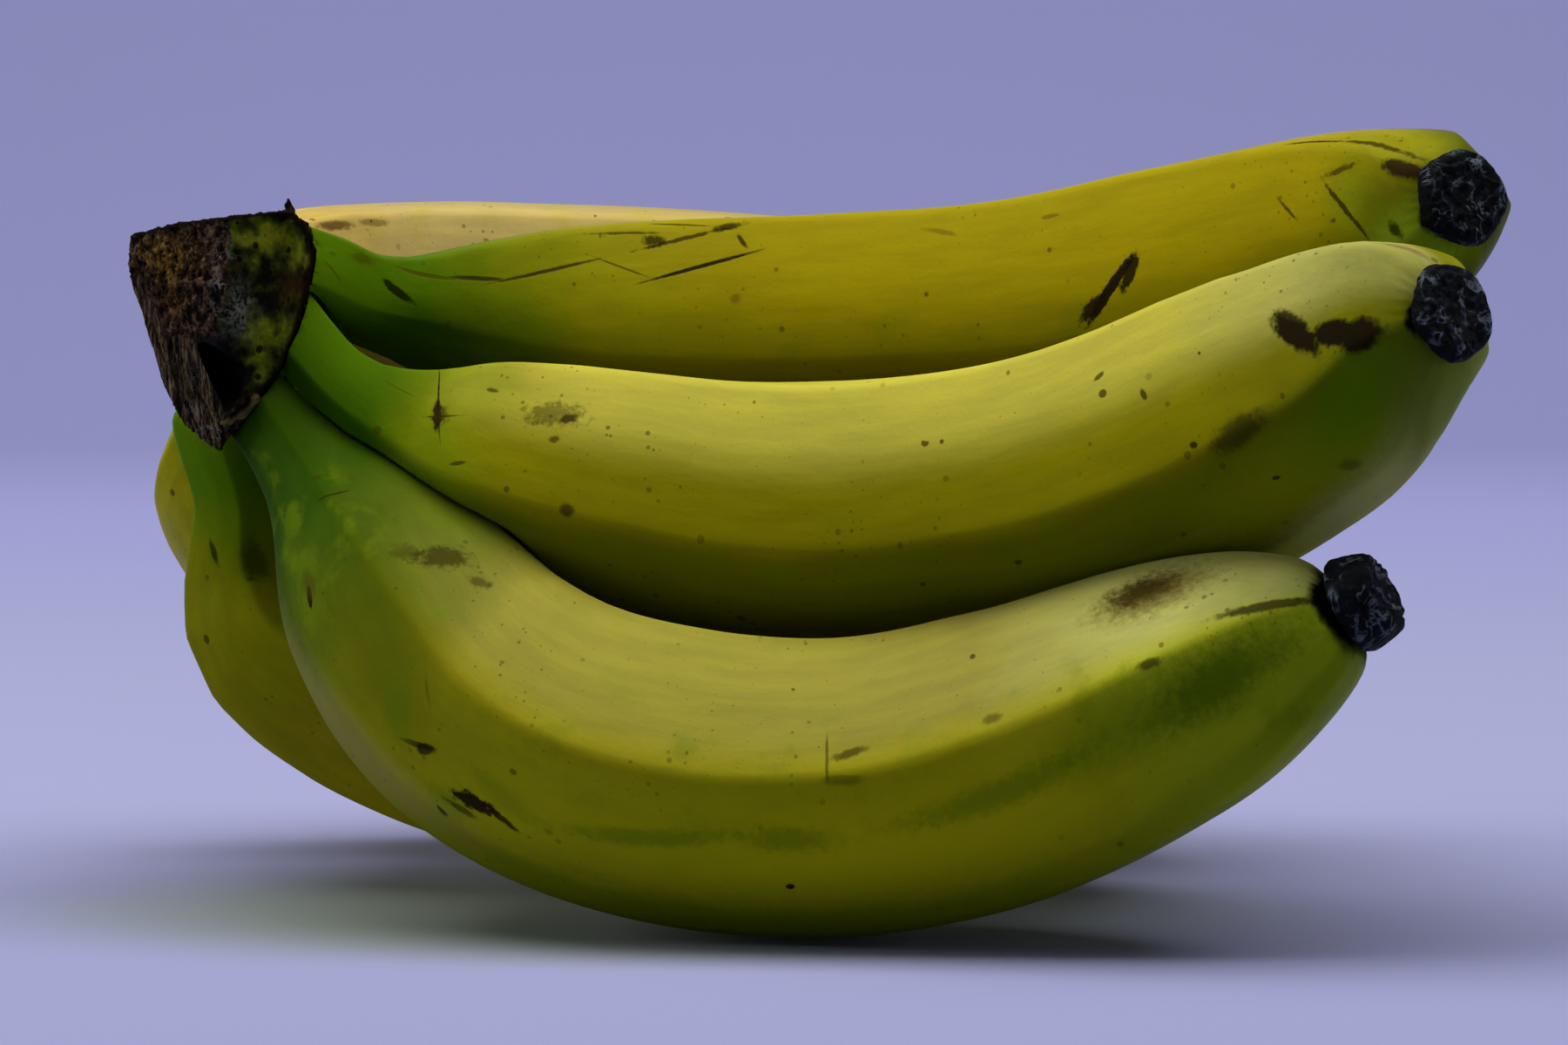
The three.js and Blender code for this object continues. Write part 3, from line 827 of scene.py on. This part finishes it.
withered = stub_finish()
for fruit in front_fruits + back_fruits:
    dress(dry_stub(fruit), withered)


# ---- Crown ----
# The piece of stalk that holds the hand together, cut with a knife: two dried faces that meet in a
# standing edge, one granular and fibrous, the other still green under a grey bloom, with a smooth
# hollow low between them, painted black as its shade, and a torn tip.
grain_size = 0.00027
bpy.ops.object.select_all(action="DESELECT")
crown = bpy.data.objects.new("cut_crown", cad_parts["crown"].data.copy())
bpy.context.collection.objects.link(crown)
crown.select_set(True)
bpy.context.view_layer.objects.active = crown
bpy.ops.object.mode_set(mode="EDIT")
bpy.ops.mesh.select_all(action="SELECT")
bpy.ops.mesh.remove_doubles(threshold=0.00001)
bpy.ops.object.mode_set(mode="OBJECT")
close_grain = crown.modifiers.new("close grain", "REMESH")
close_grain.mode = "VOXEL"
close_grain.voxel_size = grain_size
bpy.ops.object.modifier_apply(modifier=close_grain.name)
ease = crown.modifiers.new("eased edges", "SMOOTH")
ease.factor = 0.5
ease.iterations = 3
bpy.ops.object.modifier_apply(modifier=ease.name)

# Lines and corners on the crown, across and up, in the same millimetres as the fruits' routes.
standing_edge = [
    (58, -77), (64.9, -75.5), (67.4, -73.9), (70.1, -72.9), (73.7, -75.3), (76.3, -76.9),
    (79.7, -75.6), (89.1, -74.7), (92, -74.5),
]
left_edge = [(59.8, -77.5), (62, -81.5), (68.3, -84.6), (76.5, -87.2), (83, -89.5), (90, -89)]
right_rim = [
    (-70.5, 90.9), (-67, 90), (-65.4, 87), (-65.3, 84), (-66.2, 79.4), (-67.6, 74.5), (-69.5, 70),
    (-72, 67), (-76.3, 64),
]
torn_rim = [(-76.3, 63.6), (-74.8, 64.2), (-73.1, 65.2), (-72.1, 66.8)]
hollow_corners = [
    (-80, 74.4), (-77.7, 75), (-75.3, 73.8), (-72.8, 70.1), (-73.9, 67.4), (-75.6, 65.1), (-76.9, 66.2),
]
fibre_lean = math.radians(22)


def read_pairs(pairs, value):
    for (near, low), (far, high) in zip(pairs, pairs[1:]):
        if value < far:
            return low + (high - low) * min(max((value - near) / (far - near), 0), 1)
    return pairs[-1][1]


def ease_in(value, low, high):
    share = min(max((value - low) / (high - low), 0), 1)
    return share * share * (3 - 2 * share)


def gap_to_line(x, z, line):
    nearest = 1000.0
    for (x1, z1), (x2, z2) in zip(line, line[1:]):
        run, climb = x2 - x1, z2 - z1
        share = min(max(((x - x1) * run + (z - z1) * climb) / (run * run + climb * climb), 0), 1)
        nearest = min(nearest, math.hypot(x - x1 - run * share, z - z1 - climb * share))
    return nearest


def depth_inside(x, z, corners):
    """How far a place is inside a shape with its corners given clockwise, or minus how far outside."""
    least = 1000.0
    for (x1, z1), (x2, z2) in zip(corners, corners[1:] + corners[:1]):
        run, climb = x2 - x1, z2 - z1
        least = min(least, ((x - x1) * climb - (z - z1) * run) / math.hypot(run, climb))
    return least


def patched(x, z, spots):
    """How strongly a place is coloured by soft round patches."""
    total = 0
    for (mid_x, mid_z), (wide, high), strength in spots:
        total += math.exp(-((x - mid_x) / wide) ** 2 - ((z - mid_z) / high) ** 2) * strength
    return min(1, total)


# What each place of the crown is covered with, kept as a share from 0 to 1 for the colours.
parts = (
    "crumb", "green", "fibre", "hollow", "rim", "torn", "golden", "bright", "bloom", "ruddy", "hairy",
)
# Soft patches: middle, reach across and up, and strength.
patches = {
    "golden": [((-83.8, 84.8), (3.6, 2.6), 1), ((-82.6, 79.8), (1.8, 2.8), 0.6)],
    "bright": [
        ((-71.4, 87.3), (4.2, 2.4), 1), ((-66.6, 84.6), (1.4, 2.0), 0.8),
        ((-70.4, 75.4), (2.4, 1.8), 1), ((-71.6, 71.2), (1.7, 2.2), 1),
    ],
    "bloom": [((-74.0, 78.2), (1.9, 2.8), 1)],
    "ruddy": [((-66.9, 81.4), (2.2, 2.4), 1), ((-75, 66), (2.2, 1.4), 1)],
    "hairy": [
        ((-76, 82), (1.6, 6), 1), ((-77.6, 62.5), (2.4, 3), 1), ((-80.6, 66), (1.2, 4), 0.4),
    ],
}
shares_of = {part: [] for part in parts}
moves = []
for vertex in crown.data.vertices:
    x, y, z = (vertex.co - hand_shift) * 1000
    normal = vertex.normal
    spot = Vector((x, y, z))
    front = ease_in(-normal.y, 0.05, 0.35)
    wobble = noise.noise(spot * 0.5) * 0.9
    jitter = noise.noise(spot * 1.6) * 0.5
    hollow = ease_in(depth_inside(x, z, hollow_corners) + jitter * 0.5, -0.35, 0.35)
    hollow *= 1 if y < 0 else 0
    right = ease_in(x - read_pairs(standing_edge, z) + wobble * 0.5 + jitter * 0.4, -0.35, 0.45)
    green = right * front * (1 - hollow) * (1 if z < 90.3 else 0) * ease_in(z + jitter, 66.2, 67.6)
    fibre = max(
        ease_in(74.3 + wobble + jitter * 2 - z, -0.9, 0.9),
        ease_in(2.0 - (x - read_pairs(left_edge, z)) + jitter, -0.6, 0.6) * ease_in(82 - z, -1, 1),
    ) * (1 - right) * (1 - hollow)
    fibre = max(fibre, ease_in(normal.y, 0.1, 0.5))
    rim = ease_in(gap_to_line(x, z, right_rim) + wobble * 0.25, 0.6, 0.2)
    rim *= ease_in(normal.y, 0.6, 0.1)
    rim = max(rim, ease_in(normal.z, 0.3, 0.7) * ease_in(y, 0, -6), ease_in(z, 91.0, 91.6))
    torn = ease_in(gap_to_line(x, z, torn_rim) + jitter * 0.9, 0.5, 0.15)
    torn *= ease_in(normal.y, 0.4, 0.1)
    wx, wz = x + wobble + jitter, z + noise.noise(spot * 0.6 + Vector((9, 0, 0))) * 1.4
    shares = {
        "green": green, "fibre": fibre, "hollow": hollow, "rim": rim, "torn": torn,
        "hairy": patched(x, z, patches["hairy"]),
    }
    for part in ("golden", "bright", "bloom", "ruddy"):
        shares[part] = patched(wx, wz, patches[part])
    dry = max(0, 1 - green - fibre - hollow)
    crumbs = noise.noise(spot * 0.8) * 0.30 + (0.4 - abs(noise.noise(spot * 1.7)) * 2) * 0.22
    crumbs += noise.noise(spot * 3.1) * 0.18 + noise.noise(spot * 5.5) * 0.10
    run = x * math.sin(fibre_lean) - z * math.cos(fibre_lean)
    over = x * math.cos(fibre_lean) + z * math.sin(fibre_lean)
    threads = noise.noise(Vector((over * 1.3, y * 0.9, run * 0.13))) * 0.6
    threads += (0.4 - abs(noise.noise(Vector((over * 3.2, y * 2, run * 0.3)))) * 1.6) * 0.3
    parting = ease_in(noise.noise(Vector((over * 1.9, 7, run * 0.11))), 0.12, 0.3)
    threads -= parting * ease_in(z, 68, 64) * 0.9
    rolling = noise.noise(spot * 0.33) * 0.35 + noise.noise(spot * 1.3) * 0.10
    shares["crumb"] = min(max(0.5 + crumbs * 1.1, 0), 1)
    for part, share in shares.items():
        shares_of[part].append(share)
    lift = dry * (crumbs - 0.15) + fibre * (threads - 0.15) + green * (rolling - 0.2)
    lift += rim * 0.25 + torn * 0.35 - hollow * 0.2
    moves.append(normal * lift)
for vertex, move in zip(crown.data.vertices, moves):
    vertex.co += move / 1000
for part in parts:
    crown.data.attributes.new(part, "FLOAT", "POINT").data.foreach_set("value", shares_of[part])
bpy.ops.object.shade_smooth()
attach(crown, "root")
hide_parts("crown")

cut_stalk, tree, skin = new_material("cut stalk")
place = add_node(tree, "ShaderNodeTexCoord").outputs["Object"]


def part_mask(name):
    return add_node(
        tree, "ShaderNodeAttribute", {"attribute_type": "GEOMETRY", "attribute_name": name}
    ).outputs["Fac"]


grains = cloud(tree, place, 1500.0, 4.0, 0.75)
lumps = maths(
    tree, "ADD", maths(tree, "MULTIPLY", grains, 0.5), maths(tree, "MULTIPLY", part_mask("crumb"), 0.5)
)
dusky = colour_steps(tree, lumps, [
    (0.38, (0.003, 0.0015, 0.0015)), (0.48, (0.022, 0.011, 0.008)), (0.58, (0.090, 0.050, 0.030)),
    (0.72, (0.28, 0.19, 0.11)),
])
gold = colour_steps(tree, lumps, [
    (0.36, (0.006, 0.003, 0.001)), (0.47, (0.070, 0.036, 0.006)), (0.57, (0.25, 0.14, 0.02)),
    (0.70, (0.60, 0.40, 0.09)),
])
tilted = add_node(tree, "ShaderNodeMapping", {}, {
    "Vector": place, "Rotation": (0, fibre_lean, 0), "Scale": (1, 1, 0.07),
}).outputs["Vector"]
thread = maths(tree, "ADD", maths(tree, "MULTIPLY", cloud(tree, tilted, 900.0, 2.0), 0.4), maths(
    tree, "MULTIPLY", cloud(tree, tilted, 3200.0, 3.0, 0.7), 0.6))
fibrous = colour_steps(tree, thread, [
    (0.41, (0.003, 0.002, 0.0015)), (0.50, (0.036, 0.023, 0.012)), (0.57, (0.15, 0.105, 0.055)),
    (0.66, (0.36, 0.27, 0.16)),
])
mottle = cloud(tree, place, 420.0, 5.0, 0.58)
lighter = maths(tree, "MULTIPLY", maths(tree, "SUBTRACT", part_mask("bright"), 0.38), 0.36)
mottle = maths(tree, "ADD", mottle, lighter)
green_face = colour_steps(tree, mottle, [
    (0.32, (0.004, 0.004, 0.002)), (0.42, (0.026, 0.033, 0.005)), (0.55, (0.076, 0.100, 0.006)),
    (0.74, (0.25, 0.27, 0.011)),
])
ruddy = mix_colour(tree, grains, (0.010, 0.004, 0.002, 1), (0.085, 0.034, 0.012, 1))
green_face = mix_colour(tree, maths(tree, "MULTIPLY", part_mask("ruddy"), 0.85), green_face, ruddy)
bloom = maths(tree, "MULTIPLY", part_mask("bloom"), between(tree, grains, 0.40, 0.60))
green_face = mix_colour(tree, maths(tree, "MULTIPLY", bloom, 0.75), green_face, (0.30, 0.31, 0.26, 1))
away, pick = cells(tree, place, 520.0)
size = maths(tree, "MULTIPLY", maths(tree, "POWER", pick[0], 2.0), 0.30)
pit = between(tree, maths(tree, "SUBTRACT", size, away), -0.06, 0.04)
green_face = mix_colour(tree, maths(tree, "MULTIPLY", pit, 0.9), green_face, (0.003, 0.002, 0.001, 1))
colour = mix_colour(tree, part_mask("golden"), dusky, gold)
colour = mix_colour(tree, part_mask("fibre"), colour, fibrous)
colour = mix_colour(tree, part_mask("green"), colour, green_face)
hair = maths(tree, "MULTIPLY", strands(tree, place, 330.0), part_mask("hairy"))
hair = maths(tree, "MULTIPLY", hair, between(tree, cloud(tree, place, 500.0, 2.0), 0.45, 0.60))
colour = mix_colour(tree, maths(tree, "MULTIPLY", hair, 0.8), colour, (0.36, 0.32, 0.27, 1))
# The hollow is painted black: painted shade in the recess.
colour = mix_colour(tree, part_mask("hollow"), colour, (0.0022, 0.0012, 0.0010, 1))
colour = mix_colour(tree, part_mask("rim"), colour, (0.008, 0.004, 0.002, 1))
tan = mix_colour(tree, grains, (0.05, 0.035, 0.010, 1), (0.34, 0.27, 0.09, 1))
colour = mix_colour(tree, part_mask("torn"), colour, tan)
tree.links.new(colour, skin.inputs["Base Color"])
gloss = add_node(
    tree, "ShaderNodeMapRange", {}, {"Value": part_mask("hollow"), "To Min": 0.85, "To Max": 0.5}
).outputs["Result"]
tree.links.new(gloss, skin.inputs["Roughness"])
skin.inputs["Specular IOR Level"].default_value = 0.04
relief = add_node(tree, "ShaderNodeMix", {"data_type": "FLOAT"}, {
    "Factor": part_mask("fibre"), "A": grains, "B": thread,
}).outputs["Result"]
smoother = maths(tree, "MULTIPLY", maths(tree, "MAXIMUM", part_mask("hollow"), maths(
    tree, "MULTIPLY", part_mask("green"), 0.6)), -0.95)
relief = maths(tree, "MULTIPLY", relief, maths(tree, "ADD", smoother, 1.0))
add_relief(tree, skin, relief, 1.0, 0.0005)
dress(crown, cut_stalk)


# ---- Studio ----
# A pale sheet that runs back and curves up behind the hand, a wide soft lamp overhead, one at each
# side and a weak one in front. The sheet throws back less light than it shows, and so leaves the
# undersides of the fruit dark. Under the hand it is painted greener, as green light thrown back from
# the peels, and for the camera it glows as painted light: brighter and bluer far behind the hand,
# and a little brighter just behind it.
paper_seen = (0.385, 0.395, 0.665, 1)
painted_green_bounce = (0.34, 0.40, 0.28, 1)
paper_in_light = (0.22, 0.23, 0.38, 1)
hand_middle = (0, 0, 0.05)
bpy.ops.object.select_all(action="DESELECT")
bpy.ops.mesh.primitive_plane_add(size=1, location=(0, 0, 0))
floor = bpy.context.object
floor.name = "studio_sheet"
bpy.ops.object.mode_set(mode="EDIT")
bpy.ops.transform.resize(value=(8, 4, 1), center_override=(0, 0.5, 0))
bpy.ops.transform.translate(value=(0, 0.6, 0))
bpy.ops.mesh.select_all(action="DESELECT")
bpy.ops.object.mode_set(mode="OBJECT")
far = max(vertex.co.y for vertex in floor.data.vertices)
for edge in floor.data.edges:
    edge.select = all(abs(floor.data.vertices[v].co.y - far) < 0.001 for v in edge.vertices)
bpy.ops.object.mode_set(mode="EDIT")
bpy.ops.mesh.spin(steps=24, angle=math.radians(-80), center=(0, far, 0.7), axis=(1, 0, 0))
bpy.ops.mesh.extrude_region_move(TRANSFORM_OT_translate={"value": (0, 0.5, 2.5)})
bpy.ops.mesh.select_all(action="SELECT")
bpy.ops.mesh.normals_make_consistent(inside=False)
bpy.ops.object.mode_set(mode="OBJECT")
bpy.ops.object.shade_smooth()
sheet_paper, tree, skin = new_material("pale sheet")
skin.inputs["Roughness"].default_value = 0.9
skin.inputs["Specular IOR Level"].default_value = 0.1
place = add_node(tree, "ShaderNodeTexCoord").outputs["Object"]
sheet_x, sheet_y, _ = add_node(tree, "ShaderNodeSeparateXYZ", {}, {0: place}).outputs
ray = add_node(tree, "ShaderNodeLightPath").outputs
seen = maths(tree, "ADD", ray["Is Glossy Ray"], ray["Is Transmission Ray"])
seen = maths(tree, "ADD", ray["Is Camera Ray"], seen, clamp=True)
# The sheet glows for the camera: painted light, brighter and bluer far behind the hand, and a little
# brighter just behind it.
far_glow = between(tree, sheet_y, 0.25, 0.8, 0.0, 0.165)
near_glow = between(tree, sheet_y, -0.06, 0.12, 0.0, 0.045)
near_glow = maths(tree, "MULTIPLY", near_glow, between(tree, sheet_y, 0.25, 0.65, 1.0, 0.0))
warm_glow = maths(tree, "MULTIPLY_ADD", far_glow, 0.43, near_glow)
blue_glow = maths(tree, "ADD", far_glow, near_glow)
glow = add_node(
    tree, "ShaderNodeCombineColor", {}, {0: warm_glow, 1: warm_glow, 2: blue_glow}
).outputs[0]
tree.links.new(glow, skin.inputs["Emission Color"])
tree.links.new(seen, skin.inputs["Emission Strength"])
# Painted light: the sheet under the hand is tinted green, as light thrown back from the peels.
across = maths(tree, "MULTIPLY_ADD", sheet_x, 12.0, 0.28)
ahead = maths(tree, "MULTIPLY_ADD", sheet_y, 22.0, 0.45)
reach = maths(tree, "SQRT", maths(
    tree, "MULTIPLY_ADD", across, across, maths(tree, "MULTIPLY", ahead, ahead)
))
paper_with_painted_bounce = mix_colour(tree, between(tree, reach, 1.15, 0.4, 0.0, 0.8), paper_seen, painted_green_bounce)
shown = mix_colour(tree, seen, paper_in_light, paper_with_painted_bounce)
tree.links.new(shown, skin.inputs["Base Color"])
floor.data.materials.append(sheet_paper)

world = bpy.data.worlds.new("studio")
world.use_nodes = True
world.node_tree.nodes["Background"].inputs["Color"].default_value = (0.50, 0.50, 0.52, 1)
world.node_tree.nodes["Background"].inputs["Strength"].default_value = 0.07
bpy.context.scene.world = world

for name, place, size, power in (
    ("overhead", (0.0, 0.05, 1.5), (2.6, 1.0), 29.0),
    ("left_side", (-1.0, -0.05, 0.30), (0.5, 0.5), 2.5),
    ("right_side", (0.90, -0.10, 0.12), (0.5, 0.4), 0.9),
    ("front_fill", (-0.2, -1.2, 0.5), (0.9, 0.6), 0.2),
):
    bpy.ops.object.light_add(type="AREA", location=place)
    lamp = bpy.context.object
    lamp.name = name
    lamp.data.shape = "RECTANGLE"
    lamp.data.size, lamp.data.size_y = size
    lamp.data.energy = power
    lamp.rotation_euler = (Vector(hand_middle) - Vector(place)).to_track_quat("-Z", "Y").to_euler()

bpy.context.scene.view_settings.view_transform = "Standard"
